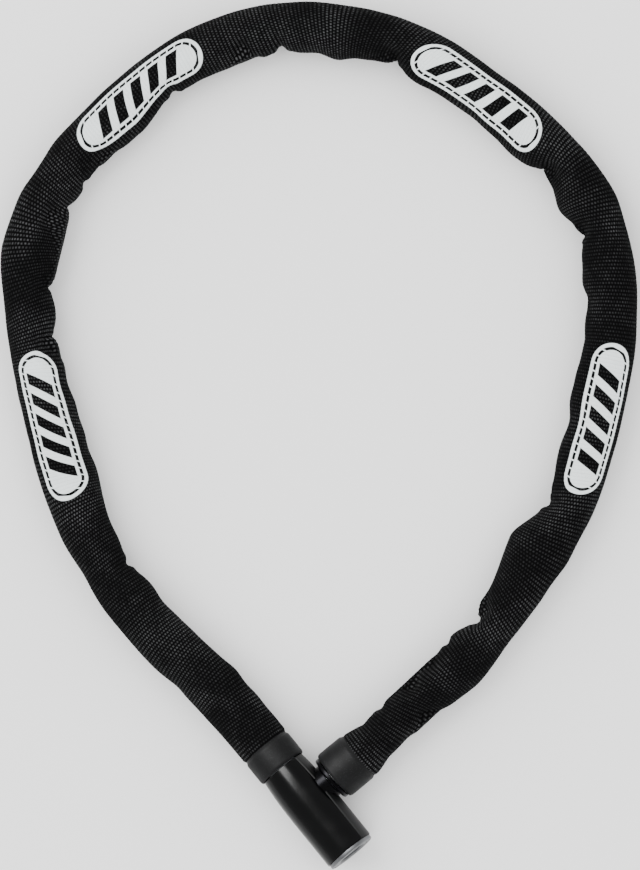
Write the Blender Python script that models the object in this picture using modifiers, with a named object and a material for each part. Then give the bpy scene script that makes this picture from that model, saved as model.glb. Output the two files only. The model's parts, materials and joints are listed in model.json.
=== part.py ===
"""Chain lock: a sleeved square-link chain closed by a barrel lock, lying flat as a loop.

Metres, +Z up. The loop lies in the XY plane and rests on z = 0. The lock barrel is at
the -Y end. In the lock's own frame X runs along the barrel towards the key face, Y along
the bolt as it leaves, and Z up.
"""
import math

import bmesh
import bpy
import numpy as np

MM = 0.001
GAP = 0.3 * MM
MERGE = 0.01 * MM
CUT_REACH = 9.0 * MM

# Where the lock lies in the loop
AXIS_HEIGHT = 10.3 * MM
CENTRE_SHIFT = (-0.51 * MM, -0.09 * MM)
COLLAR_FOOT = (-14.0 * MM, -129.8 * MM)
LOCK_HEADING = math.radians(-50.7)

# Barrel of the lock
COVER_RADIUS = 10.3 * MM
COVER_BORE = 8.3 * MM
COVER_START = 0.3 * MM
COVER_END = 41.2 * MM
COVER_FULL_STATION = 20.0 * MM
COVER_FLARE = ((10.25, 14.0), (10.15, 9.5), (9.95, 6.0), (9.7, 3.0))
COVER_FOOT_RADIUS = 9.2 * MM
BODY_RADIUS = 8.0 * MM
NECK_RADIUS = 6.4 * MM
NECK_END = -9.2 * MM
BODY_START = 0.6 * MM
FACE_RING_SPAN = (41.5 * MM, 42.8 * MM)
FACE_RING_RADII = (5.6 * MM, 9.9 * MM)

# Plug and latch
PLUG_RADIUS = 5.2 * MM
PLUG_BACK = 25.4 * MM
PLUG_FACE = 42.0 * MM
PLUG_GROOVE_SPAN = (26.2 * MM, 28.2 * MM)
PLUG_GROOVE_RADIUS = 4.15 * MM
KEYWAY_BOTTOM = 28.8 * MM
KEYWAY_SIDES = (-1.6 * MM, 0.4 * MM)
KEYWAY_HALF_HEIGHT = 3.4 * MM
CAM_OFFSET = 1.4 * MM
CAM_RADIUS = 1.0 * MM
CAM_SWEEP = CAM_OFFSET + CAM_RADIUS + 0.5 * MM
CAM_TIP = 21.7 * MM
CAM_RECESS = 21.0 * MM
CAM_REST_ANGLE = math.radians(-45.0)
RETAINER_PLACE = (27.2 * MM, 5.05 * MM)
RETAINER_RADIUS = 0.6 * MM
WAFER_COUNT = 4
WAFER_START = 29.8 * MM
WAFER_PITCH = 2.8 * MM
WAFER_THICKNESS = 0.7 * MM
WAFER_SIDES = (-3.0 * MM, 1.6 * MM)
WAFER_HALF_HEIGHT = 3.9 * MM
WINDOW_SIDES = (-2.0 * MM, 0.8 * MM)
WINDOW_HALF_HEIGHT = 2.5 * MM
WAFER_SLOT_PLAY = 0.25 * MM
WAFER_SLOT_SIDES = (-3.3 * MM, 3.6 * MM)
SPRING_PLACE = 2.6 * MM
SPRING_RADIUS = 0.34 * MM
SPRING_WIRE_RADIUS = 0.11 * MM
SPRING_HEIGHT = 5.0 * MM
SPRING_TURNS = 4
LATCH_THICKNESS = 2.4 * MM
LATCH_HALF_HEIGHT = 6.0 * MM
LATCH_SPAN = (9.0 * MM, 24.6 * MM)
LATCH_NOTCH = 21.4 * MM
LATCH_END_PLAY = 0.4 * MM

# Bolt and its collar, measured along the bolt from the barrel's axis
BOLT_STATION = 15.0 * MM
BOLT_RADIUS = 4.5 * MM
BOLT_PLAY = 0.5 * MM
BOLT_TIP = -7.0 * MM
BOLT_REAR = 24.0 * MM
BOLT_SLOT_START = 14.2 * MM
TIP_LEAD = (3.2 * MM, 2.0 * MM)
GROOVE_HALF_WIDTH = 1.6 * MM
GROOVE_RADIUS = 2.6 * MM
BUSH_RADIUS = 7.0 * MM
BUSH_SPAN = (5.3 * MM, 11.3 * MM)
FLANGE_RADIUS = 9.2 * MM
FLANGE_SPAN = (11.6 * MM, 13.2 * MM)
RIGHT_COLLAR_SPAN = (13.6 * MM, 26.3 * MM)
LEFT_COLLAR_SPAN = (-10.8 * MM, -0.1 * MM)
COLLAR_RADIUS = 10.3 * MM
COLLAR_BEVEL = 1.0 * MM
COLLAR_BORE = 9.2 * MM
CLAMP_RADII = (8.4 * MM, 8.9 * MM)
LEFT_CLAMP_SPAN = (-8.3 * MM, -4.3 * MM)
RIGHT_CLAMP_SPAN = (20.6 * MM, 24.6 * MM)
PIN_RADIUS = 1.6 * MM
PIN_HALF_LENGTH = 6.0 * MM
ANCHOR_PIN_STATION = -6.0 * MM
CROSS_PIN_STATION = 20.5 * MM

# Chain
LINK_COUNT = 28
BAR = 4.0 * MM
LINK_WIDTH = 15.8 * MM
LINK_PLAY = 2.8 * MM
HINGE_LINKS = (2, 6, 9, 12, 16, 19, 22, 26)
CHAIN_LEAN = 1.0 * MM
LEAN_RUN = 60.0 * MM

# Sleeve
SLEEVE_RADIUS = 10.3 * MM
SLEEVE_WALL = 0.8 * MM
SLEEVE_STEP = 9.0 * MM
SLEEVE_GAP = 1.0 * MM
SLEEVE_END_GAP = 1.0 * MM
LEFT_LEAD = -14.0 * MM
RIGHT_LEAD = 31.0 * MM

# Route of the chain's centre line in millimetres, from the lock over the top to the bolt
ROUTE = (
    (-37.0, -103.0), (-63.5, -77.0), (-82.0, -53.0), (-96.0, -25.5), (-104.5, 4.0),
    (-110.8, 36.5), (-112.3, 63.5), (-106.8, 87.5), (-92.2, 111.0), (-71.5, 131.8),
    (-47.5, 148.5), (-19.5, 157.8), (9.5, 157.6), (38.0, 149.0), (62.5, 133.5),
    (85.0, 115.8), (102.5, 94.5), (112.0, 67.5), (113.0, 37.0), (107.0, 4.0),
    (97.0, -27.0), (79.0, -57.0), (58.0, -84.0), (40.0, -101.5),
)

PARTS = "chain_lock"
CUTTERS = "cutters"


def clear_scene():
    for obj in list(bpy.data.objects):
        bpy.data.objects.remove(obj)


def collection(name):
    made = bpy.data.collections.get(name) or bpy.data.collections.new(name)
    if name not in bpy.context.scene.collection.children:
        bpy.context.scene.collection.children.link(made)
    return made


def material(name, colour, roughness, metallic):
    made = bpy.data.materials.get(name)
    if made:
        return made
    made = bpy.data.materials.new(name)
    made.use_nodes = True
    shader = made.node_tree.nodes["Principled BSDF"]
    shader.inputs["Base Color"].default_value = (*colour, 1.0)
    shader.inputs["Roughness"].default_value = roughness
    shader.inputs["Metallic"].default_value = metallic
    return made


def black_gloss():
    return material("gloss_black_shell", (0.012, 0.013, 0.014), 0.25, 0.0)


def soft_black():
    return material("soft_touch_black", (0.03, 0.031, 0.033), 0.6, 0.0)


def steel():
    return material("hardened_steel", (0.42, 0.43, 0.44), 0.3, 1.0)


def cast_zinc():
    return material("cast_zinc", (0.35, 0.36, 0.37), 0.45, 1.0)


def brass():
    return material("plug_brass", (0.6, 0.46, 0.2), 0.35, 1.0)


def chrome():
    return material("bright_nickel", (0.72, 0.73, 0.75), 0.18, 1.0)


def woven_black():
    return material("woven_sleeve_black", (0.018, 0.018, 0.019), 0.85, 0.0)


def place(obj, name, surface, parent, location, rotation=(0.0, 0.0, 0.0)):
    """Name a piece, give it its material and put it in its parent's frame."""
    obj.name = name
    obj.parent = parent
    obj.location = location
    obj.rotation_euler = rotation
    obj.data.materials.append(surface)
    return obj


def frame_empty(name, location, heading, parent=None):
    empty = bpy.data.objects.new(name, None)
    empty.empty_display_size = 5.0 * MM
    empty.location = location
    empty.rotation_euler = (0.0, 0.0, heading)
    empty.parent = parent
    collection(PARTS).objects.link(empty)
    return empty


ALONG_X = (0.0, math.radians(90.0), 0.0)
ALONG_Y = (math.radians(-90.0), 0.0, 0.0)
ALONG_Z = (0.0, 0.0, 0.0)


def turned(profile, closed, steps=32):
    """A turned solid from (radius, height) points that run down its outer side."""
    mesh = bpy.data.meshes.new("turned")
    points = [(radius, 0.0, height) for radius, height in profile]
    edges = [(i, i + 1) for i in range(len(points) - 1)]
    if closed:
        edges.append((len(points) - 1, 0))
    mesh.from_pydata(points, edges, [])
    obj = bpy.data.objects.new("turned", mesh)
    collection(PARTS).objects.link(obj)
    screw = obj.modifiers.new("turn", "SCREW")
    screw.steps = steps
    screw.render_steps = steps
    screw.use_merge_vertices = True
    screw.merge_threshold = MERGE
    screw.use_smooth_shade = True
    return obj


def ring(inner, outer, low, high, bevel=0.0, steps=32):
    """A turned tube with its outer edges broken by a bevel."""
    profile = [
        (outer - bevel, high), (outer, high - bevel), (outer, low + bevel), (outer - bevel, low),
        (inner, low), (inner, high),
    ]
    if not bevel:
        profile = [(outer, high), (outer, low), (inner, low), (inner, high)]
    return turned(profile, True, steps)


def rod(radius, low, high, bevel=0.0, steps=20):
    """A turned solid rod with its end edges broken by a bevel."""
    profile = [
        (0.0, high), (radius - bevel, high), (radius, high - bevel),
        (radius, low + bevel), (radius - bevel, low), (0.0, low),
    ]
    if not bevel:
        profile = [(0.0, high), (radius, high), (radius, low), (0.0, low)]
    return turned(profile, False, steps)


def as_cutter(obj, parent, location, rotation=(0.0, 0.0, 0.0)):
    for holder in obj.users_collection:
        holder.objects.unlink(obj)
    collection(CUTTERS).objects.link(obj)
    obj.name = "cutter"
    obj.parent = parent
    obj.location = location
    obj.rotation_euler = rotation
    obj.hide_render = True
    obj.display_type = "WIRE"
    return obj


def block(low, high):
    """A box between two corners, with its origin at the frame's own origin."""
    mesh = bpy.data.meshes.new("block")
    shape = bmesh.new()
    bmesh.ops.create_cube(shape, size=1.0)
    size = [b - a for a, b in zip(low, high)]
    middle = [(a + b) / 2.0 for a, b in zip(low, high)]
    bmesh.ops.scale(shape, vec=size, verts=shape.verts)
    bmesh.ops.translate(shape, vec=middle, verts=shape.verts)
    shape.to_mesh(mesh)
    shape.free()
    obj = bpy.data.objects.new("block", mesh)
    collection(PARTS).objects.link(obj)
    return obj


def boolean(obj, other, operation="DIFFERENCE"):
    step = obj.modifiers.new(operation.lower(), "BOOLEAN")
    step.operation = operation
    step.solver = "EXACT"
    step.object = other


def cut_block(obj, frame, low, high):
    boolean(obj, as_cutter(block(low, high), frame, (0.0, 0.0, 0.0)))


def cut_rod(obj, frame, radius, low, high, location, direction):
    boolean(obj, as_cutter(rod(radius, low, high), frame, location, direction))


def flat_plate(outlines, thickness):
    """A flat plate from 2D outlines, the first outside and the others as holes."""
    curve = bpy.data.curves.new("plate", "CURVE")
    curve.dimensions = "2D"
    curve.fill_mode = "BOTH"
    curve.extrude = thickness / 2.0
    for outline in outlines:
        spline = curve.splines.new("POLY")
        spline.points.add(len(outline) - 1)
        for point, (x, y) in zip(spline.points, outline):
            point.co = (x, y, 0.0, 1.0)
        spline.use_cyclic_u = True
    obj = bpy.data.objects.new("plate", curve)
    collection(PARTS).objects.link(obj)
    weld = obj.modifiers.new("weld", "WELD")
    weld.merge_threshold = MERGE
    return obj


def rectangle(left, right, half_height):
    return [(left, -half_height), (right, -half_height), (right, half_height), (left, half_height)]


def circle(centre, radius, count):
    angles = [2.0 * math.pi * i / count for i in range(count)]
    return [(centre[0] + radius * math.cos(a), centre[1] + radius * math.sin(a)) for a in angles]


# ---------------------------------------------------------------- route of the chain

def lock_point(along, across):
    """A point of the lock's frame in the part's own XY plane."""
    cos, sin = math.cos(LOCK_HEADING), math.sin(LOCK_HEADING)
    return np.array((
        COLLAR_FOOT[0] + CENTRE_SHIFT[0] + along * cos - across * sin,
        COLLAR_FOOT[1] + CENTRE_SHIFT[1] + along * sin + across * cos,
    ))


def pin_reach():
    """How far an end pin sits inside the contact point of the link that it holds."""
    return PIN_RADIUS + GAP - LINK_PLAY / 2.0


def route_points():
    first = lock_point(ANCHOR_PIN_STATION + pin_reach(), 0.0)
    second = lock_point(LEFT_LEAD, 0.0)
    last = lock_point(BOLT_STATION, CROSS_PIN_STATION - pin_reach())
    before = lock_point(BOLT_STATION, RIGHT_LEAD)
    middle = [np.array(point) * MM + CENTRE_SHIFT for point in ROUTE]
    return [first, second, *middle, before, last]


def smooth_route(samples=24):
    """A Catmull-Rom curve through the route, as points and their distance along it."""
    points = route_points()
    points = [2.0 * points[0] - points[1], *points, 2.0 * points[-1] - points[-2]]
    line = []
    for a, b, c, d in zip(points, points[1:], points[2:], points[3:]):
        for t in np.linspace(0.0, 1.0, samples, endpoint=False):
            line.append(0.5 * (
                2.0 * b + (c - a) * t + (2.0 * a - 5.0 * b + 4.0 * c - d) * t ** 2
                + (3.0 * b - a - 3.0 * c + d) * t ** 3))
    line.append(points[-2])
    line = np.array(line)
    return line, travelled(line)


def travelled(line):
    """The distance along a line at each of its points."""
    steps = np.linalg.norm(np.diff(line, axis=0), axis=1)
    return np.concatenate(([0.0], np.cumsum(steps)))


def leaning_line(line, distance):
    """The chain's own line, which leans on the outer side of the sleeve away from its ends."""
    ahead = np.gradient(line, axis=0)
    outward = np.stack((-ahead[:, 1], ahead[:, 0]), axis=-1)
    outward /= np.linalg.norm(outward, axis=1, keepdims=True)
    share = np.clip(np.minimum(distance, distance[-1] - distance) / LEAN_RUN, 0.0, 1.0)
    return line + outward * (CHAIN_LEAN * share * share * (3.0 - 2.0 * share))[:, None]


def at_distance(line, distance, where):
    return np.array([np.interp(where, distance, line[:, axis]) for axis in (0, 1)])


def chain_layout():
    """The sleeve's line, the places where links meet, and their distances along that line."""
    line, distance = smooth_route()
    chain = leaning_line(line, distance)
    run = travelled(chain)
    places = [at_distance(chain, run, where) for where in np.linspace(0.0, run[-1], LINK_COUNT + 1)]
    contacts = [at_station(line, distance, place) for place in places]
    return line, distance, contacts, places, run[-1] / LINK_COUNT


# ---------------------------------------------------------------- lock barrel

def lock_body(frame):
    body = turned([
        (0.0, COVER_END), (BODY_RADIUS, COVER_END), (BODY_RADIUS, BODY_START),
        (NECK_RADIUS, BODY_START), (NECK_RADIUS, NECK_END), (0.0, NECK_END),
    ], False)
    place(body, "lock_body", cast_zinc(), frame, (0.0, 0.0, 0.0), ALONG_X)
    bolt_axis = (BOLT_STATION, 0.0, 0.0)
    half = LATCH_THICKNESS / 2.0 + GAP
    back, front = LATCH_SPAN[0] - LATCH_END_PLAY, LATCH_SPAN[1] + LATCH_END_PLAY
    cut_block(body, frame, (back, -half, -CUT_REACH), (front, half, CUT_REACH))
    slot = BAR / 2.0 + GAP
    slot_start, slot_end = NECK_END - CUT_REACH, BODY_START - GAP
    cut_block(body, frame, (slot_start, -CUT_REACH, -slot), (slot_end, CUT_REACH, slot))
    plug_bore = [
        (0.0, PLUG_FACE + GAP), (PLUG_RADIUS + GAP, PLUG_FACE + GAP), (PLUG_RADIUS + GAP, PLUG_BACK - GAP),
        (CAM_SWEEP, PLUG_BACK - GAP), (CAM_SWEEP, CAM_RECESS), (0.0, CAM_RECESS),
    ]
    boolean(body, as_cutter(turned(plug_bore, False, 28), frame, (0.0, 0.0, 0.0), ALONG_X))
    bolt_bore = [
        (0.0, BUSH_SPAN[1]), (BUSH_RADIUS + GAP, BUSH_SPAN[1]), (BUSH_RADIUS + GAP, BUSH_SPAN[0] - GAP),
        (BOLT_RADIUS + BOLT_PLAY, BUSH_SPAN[0] - GAP), (BOLT_RADIUS + BOLT_PLAY, BOLT_TIP - GAP),
        (0.0, BOLT_TIP - GAP),
    ]
    boolean(body, as_cutter(turned(bolt_bore, False, 28), frame, bolt_axis, ALONG_Y))
    pin_place = (ANCHOR_PIN_STATION, 0.0, 0.0)
    cut_rod(body, frame, PIN_RADIUS + GAP, -CUT_REACH, CUT_REACH, pin_place, ALONG_Z)
    retainer_place = (*RETAINER_PLACE, 0.0)
    cut_rod(body, frame, RETAINER_RADIUS + GAP, -4.4 * MM, CUT_REACH, retainer_place, ALONG_Z)
    return body


def housing_cover(frame):
    outer = [
        (COVER_RADIUS, COVER_END), (COVER_RADIUS, COVER_FULL_STATION),
        *((radius * MM, station * MM) for radius, station in COVER_FLARE), (COVER_FOOT_RADIUS, COVER_START),
    ]
    cover = turned([*outer, (COVER_BORE, COVER_START), (COVER_BORE, COVER_END)], True, 40)
    place(cover, "housing_cover", black_gloss(), frame, (0.0, 0.0, 0.0), ALONG_X)
    hole = BUSH_RADIUS + GAP
    cut_rod(cover, frame, hole, BODY_RADIUS / 2.0, BUSH_SPAN[1] + GAP, (BOLT_STATION, 0.0, 0.0), ALONG_Y)
    return cover


def face_ring(frame):
    back, front = FACE_RING_SPAN
    inner, outer = FACE_RING_RADII
    shape = turned([
        (outer - 0.4 * MM, front), (outer, front - 0.5 * MM), (outer, back),
        (inner, back), (inner, front - 0.4 * MM), (inner + 0.6 * MM, front),
    ], True, 40)
    place(shape, "face_ring", chrome(), frame, (0.0, 0.0, 0.0), ALONG_X)
    return shape


def bolt_bush(frame):
    shape = ring(BOLT_RADIUS + BOLT_PLAY, BUSH_RADIUS, *BUSH_SPAN, bevel=0.3 * MM, steps=28)
    return place(shape, "bolt_bush", steel(), frame, (BOLT_STATION, 0.0, 0.0), ALONG_Y)


def anchor_pin(frame):
    shape = rod(PIN_RADIUS, -PIN_HALF_LENGTH, PIN_HALF_LENGTH, 0.3 * MM, 16)
    return place(shape, "anchor_pin", steel(), frame, (ANCHOR_PIN_STATION, 0.0, 0.0), ALONG_Z)


def retaining_pin(frame):
    shape = rod(RETAINER_RADIUS, -4.0 * MM, 4.0 * MM, 0.1 * MM, 12)
    return place(shape, "plug_retaining_pin", steel(), frame, (*RETAINER_PLACE, 0.0), ALONG_Z)


def left_collar(frame):
    shape = ring(COLLAR_BORE, COLLAR_RADIUS, *LEFT_COLLAR_SPAN, bevel=COLLAR_BEVEL, steps=36)
    return place(shape, "left_collar", soft_black(), frame, (0.0, 0.0, 0.0), ALONG_X)


def left_clamp_ring(frame):
    shape = ring(*CLAMP_RADII, *LEFT_CLAMP_SPAN, steps=32)
    return place(shape, "left_clamp_ring", steel(), frame, (0.0, 0.0, 0.0), ALONG_X)


# ---------------------------------------------------------------- plug and latch

def wafer_station(index):
    return WAFER_START + index * WAFER_PITCH


def cylinder_plug(frame):
    """The plug, with its wafer slots, keyway, retaining groove and eccentric cam pin."""
    groove_back, groove_front = PLUG_GROOVE_SPAN
    plug = turned([
        (0.0, PLUG_FACE), (PLUG_RADIUS, PLUG_FACE), (PLUG_RADIUS, groove_front),
        (PLUG_GROOVE_RADIUS, groove_front), (PLUG_GROOVE_RADIUS, groove_back), (PLUG_RADIUS, groove_back),
        (PLUG_RADIUS, PLUG_BACK), (0.0, PLUG_BACK),
    ], False, 28)
    place(plug, "cylinder_plug", brass(), frame, (0.0, 0.0, 0.0), ALONG_X)
    cam_y = CAM_OFFSET * math.cos(CAM_REST_ANGLE)
    cam_z = CAM_OFFSET * math.sin(CAM_REST_ANGLE)
    pin = rod(CAM_RADIUS, CAM_TIP, PLUG_BACK + 2.0 * GAP, steps=14)
    cam = as_cutter(pin, frame, (0.0, cam_y, cam_z), ALONG_X)
    boolean(plug, cam, "UNION")
    for index in range(WAFER_COUNT):
        station = wafer_station(index)
        half = WAFER_THICKNESS / 2.0 + WAFER_SLOT_PLAY
        low = (station - half, WAFER_SLOT_SIDES[0], -CUT_REACH)
        cut_block(plug, frame, low, (station + half, WAFER_SLOT_SIDES[1], CUT_REACH))
    low = (KEYWAY_BOTTOM, KEYWAY_SIDES[0], -KEYWAY_HALF_HEIGHT)
    cut_block(plug, frame, low, (PLUG_FACE + CUT_REACH, KEYWAY_SIDES[1], KEYWAY_HALF_HEIGHT))
    return plug


def wafer(frame, index):
    """A flat wafer with a window for the key, held at the shear line."""
    outline = rectangle(*WAFER_SIDES, WAFER_HALF_HEIGHT)
    window = rectangle(*WINDOW_SIDES, WINDOW_HALF_HEIGHT)
    plate = flat_plate([outline, window], WAFER_THICKNESS)
    turn = (math.radians(90.0), 0.0, math.radians(90.0))
    place(plate, f"wafer_{index + 1}", brass(), frame, (wafer_station(index), 0.0, 0.0), turn)
    return plate


def wafer_spring(frame, index):
    """A small compression spring beside its wafer."""
    per_turn = 6
    curve = bpy.data.curves.new("spring", "CURVE")
    curve.dimensions = "3D"
    curve.bevel_depth = SPRING_WIRE_RADIUS
    curve.bevel_resolution = 0
    curve.use_fill_caps = True
    spline = curve.splines.new("POLY")
    count = SPRING_TURNS * per_turn + 1
    spline.points.add(count - 1)
    for i, point in enumerate(spline.points):
        angle = 2.0 * math.pi * i / per_turn
        height = (i / (count - 1) - 0.5) * SPRING_HEIGHT
        x, y = SPRING_RADIUS * math.cos(angle), SPRING_RADIUS * math.sin(angle)
        point.co = (x, y, height, 1.0)
    obj = bpy.data.objects.new("spring", curve)
    collection(PARTS).objects.link(obj)
    weld = obj.modifiers.new("weld", "WELD")
    weld.merge_threshold = MERGE
    where = (wafer_station(index), SPRING_PLACE, 0.0)
    return place(obj, f"wafer_spring_{index + 1}", steel(), frame, where)


def latch_plate(frame):
    """The plate that the bolt passes through; its fork is moved by the plug's cam pin."""
    centre = CAM_OFFSET * math.sin(CAM_REST_ANGLE)
    half_notch = CAM_RADIUS + GAP
    back, front = LATCH_SPAN
    top, bottom = LATCH_HALF_HEIGHT, -LATCH_HALF_HEIGHT
    notch = LATCH_NOTCH
    outline = [
        (back, bottom), (front, bottom), (front, centre - half_notch), (notch, centre - half_notch),
        (notch, centre + half_notch), (front, centre + half_notch), (front, top), (back, top),
    ]
    hole = circle((BOLT_STATION, 0.0), BOLT_RADIUS + BOLT_PLAY, 28)
    plate = flat_plate([outline, hole], LATCH_THICKNESS)
    turn = (math.radians(90.0), 0.0, 0.0)
    return place(plate, "latch_plate", steel(), frame, (0.0, 0.0, 0.0), turn)


# ---------------------------------------------------------------- bolt end

def bolt(frame):
    shape = turned([
        (0.0, BOLT_REAR), (NECK_RADIUS - 0.5 * MM, BOLT_REAR), (NECK_RADIUS, BOLT_REAR - 0.5 * MM),
        (NECK_RADIUS, FLANGE_SPAN[1] + GAP), (BOLT_RADIUS, FLANGE_SPAN[1] + GAP),
        (BOLT_RADIUS, GROOVE_HALF_WIDTH), (GROOVE_RADIUS, GROOVE_HALF_WIDTH),
        (GROOVE_RADIUS, -GROOVE_HALF_WIDTH), (BOLT_RADIUS, -GROOVE_HALF_WIDTH),
        (BOLT_RADIUS, BOLT_TIP + TIP_LEAD[1]), (TIP_LEAD[0], BOLT_TIP), (0.0, BOLT_TIP),
    ], False, 28)
    place(shape, "bolt", steel(), frame, (0.0, 0.0, 0.0), ALONG_Y)
    slot = BAR / 2.0 + GAP
    slot_end = BOLT_REAR + CUT_REACH
    cut_block(shape, frame, (-slot, BOLT_SLOT_START, -CUT_REACH), (slot, slot_end, CUT_REACH))
    pin_place = (0.0, CROSS_PIN_STATION, 0.0)
    cut_rod(shape, frame, PIN_RADIUS + GAP, -CUT_REACH, CUT_REACH, pin_place, ALONG_X)
    return shape


def bolt_flange(frame):
    shape = ring(BOLT_RADIUS + GAP, FLANGE_RADIUS, *FLANGE_SPAN, bevel=0.4 * MM, steps=36)
    return place(shape, "bolt_flange", chrome(), frame, (0.0, 0.0, 0.0), ALONG_Y)


def bolt_cross_pin(frame):
    shape = rod(PIN_RADIUS, -PIN_HALF_LENGTH, PIN_HALF_LENGTH, 0.3 * MM, 16)
    return place(shape, "bolt_cross_pin", steel(), frame, (0.0, CROSS_PIN_STATION, 0.0), ALONG_X)


def right_collar(frame):
    shape = ring(COLLAR_BORE, COLLAR_RADIUS, *RIGHT_COLLAR_SPAN, bevel=COLLAR_BEVEL, steps=36)
    return place(shape, "right_collar", soft_black(), frame, (0.0, 0.0, 0.0), ALONG_Y)


def right_clamp_ring(frame):
    shape = ring(*CLAMP_RADII, *RIGHT_CLAMP_SPAN, steps=32)
    return place(shape, "right_clamp_ring", steel(), frame, (0.0, 0.0, 0.0), ALONG_Y)


# ---------------------------------------------------------------- chain and sleeve

def link_curve(length):
    """One square-bar link as a closed stadium path, its middle at the origin."""
    radius = (LINK_WIDTH - BAR) / 2.0
    straight = (length - LINK_WIDTH) / 2.0
    arc = 6
    path = []
    for side in (1, -1):
        for i in range(arc + 1):
            angle = math.radians(-90.0 + 180.0 * i / arc) + (0.0 if side > 0 else math.pi)
            path.append((side * straight + radius * math.cos(angle), radius * math.sin(angle)))
    curve = bpy.data.curves.new("link", "CURVE")
    curve.dimensions = "3D"
    curve.bevel_depth = BAR / math.sqrt(2.0)
    curve.bevel_resolution = 0
    spline = curve.splines.new("POLY")
    spline.points.add(len(path) - 1)
    for point, (x, y) in zip(spline.points, path):
        point.co = (x, y, 0.0, 1.0)
        point.tilt = math.radians(45.0)
    spline.use_cyclic_u = True
    curve.materials.append(steel())
    return curve


def chain_link(curve, index, start, end, parent):
    middle = (start + end) / 2.0
    heading = math.atan2(end[1] - start[1], end[0] - start[0])
    roll = math.radians(90.0) * (index % 2)
    obj = bpy.data.objects.new(f"chain_link_{index + 1:02d}", curve)
    collection(PARTS).objects.link(obj)
    obj.parent = parent
    obj.location = (middle[0] - parent.location.x, middle[1] - parent.location.y, 0.0)
    obj.rotation_euler = (roll, 0.0, heading)
    return obj


def sleeve_segment(number, line, distance, start, end, parent):
    """A stretch of the woven sleeve: an open tube about the route, given its wall."""
    count = max(3, round((end - start) / SLEEVE_STEP) + 1)
    curve = bpy.data.curves.new("sleeve", "CURVE")
    curve.dimensions = "3D"
    curve.bevel_depth = SLEEVE_RADIUS
    curve.bevel_resolution = 4
    spline = curve.splines.new("POLY")
    spline.points.add(count - 1)
    for point, where in zip(spline.points, np.linspace(start, end, count)):
        x, y = at_distance(line, distance, where)
        point.co = (x - parent.location.x, y - parent.location.y, 0.0, 1.0)
    obj = bpy.data.objects.new("sleeve", curve)
    collection(PARTS).objects.link(obj)
    wall = obj.modifiers.new("wall", "SOLIDIFY")
    wall.thickness = SLEEVE_WALL
    wall.offset = -1.0
    wall.use_even_offset = True
    return place(obj, f"sleeve_{number}", woven_black(), parent, (0.0, 0.0, 0.0))


def chain_and_sleeve(root_frame):
    """Every link and sleeve stretch, each under the empty of the hinge that carries it."""
    line, distance, contacts, places, pitch = chain_layout()
    bounds = [0, *HINGE_LINKS, LINK_COUNT]
    curve = link_curve(pitch + LINK_PLAY + 2.0 * BAR)
    sleeve_start = at_station(line, distance, lock_point(LEFT_COLLAR_SPAN[0] - SLEEVE_END_GAP, 0.0))
    collar_end = lock_point(BOLT_STATION, RIGHT_COLLAR_SPAN[1] + SLEEVE_END_GAP)
    sleeve_end = at_station(line, distance, collar_end)
    parent = root_frame
    for number, (first, last) in enumerate(zip(bounds, bounds[1:]), start=1):
        if number > 1:
            where = (*places[first], AXIS_HEIGHT)
            parent = frame_empty(f"hinge_{number - 1}", where, 0.0)
        for index in range(first, last):
            chain_link(curve, index, places[index], places[index + 1], parent)
        start = sleeve_start if number == 1 else contacts[first] + SLEEVE_GAP
        end = sleeve_end if last == LINK_COUNT else contacts[last] - SLEEVE_GAP
        sleeve_segment(number, line, distance, start, end, parent)
    return parent


def at_station(line, distance, point):
    """The distance along the route of the place nearest to a point."""
    return distance[np.argmin(np.linalg.norm(line - point, axis=1))]


def main():
    clear_scene()
    foot = lock_point(0.0, 0.0)
    lock = frame_empty("lock_frame", (*foot, AXIS_HEIGHT), LOCK_HEADING)
    for make in (lock_body, housing_cover, face_ring, bolt_bush, anchor_pin, retaining_pin,
                 left_collar, left_clamp_ring, cylinder_plug, latch_plate):
        make(lock)
    for index in range(WAFER_COUNT):
        wafer(lock, index)
        wafer_spring(lock, index)
    root = frame_empty("root_frame", (*foot, AXIS_HEIGHT), 0.0)
    last_hinge = chain_and_sleeve(root)
    bolt_place = lock_point(BOLT_STATION, 0.0)
    offset = (bolt_place[0] - last_hinge.location.x, bolt_place[1] - last_hinge.location.y, 0.0)
    bolt_end = frame_empty("bolt_frame", offset, LOCK_HEADING, last_hinge)
    for make in (bolt, bolt_flange, bolt_cross_pin, right_collar, right_clamp_ring):
        make(bolt_end)


main()
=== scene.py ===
import json
import math

import bmesh
import bpy
import numpy as np
from bpy.props import FloatProperty, FloatVectorProperty, IntProperty, PointerProperty
from mathutils import Matrix, Vector


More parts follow.
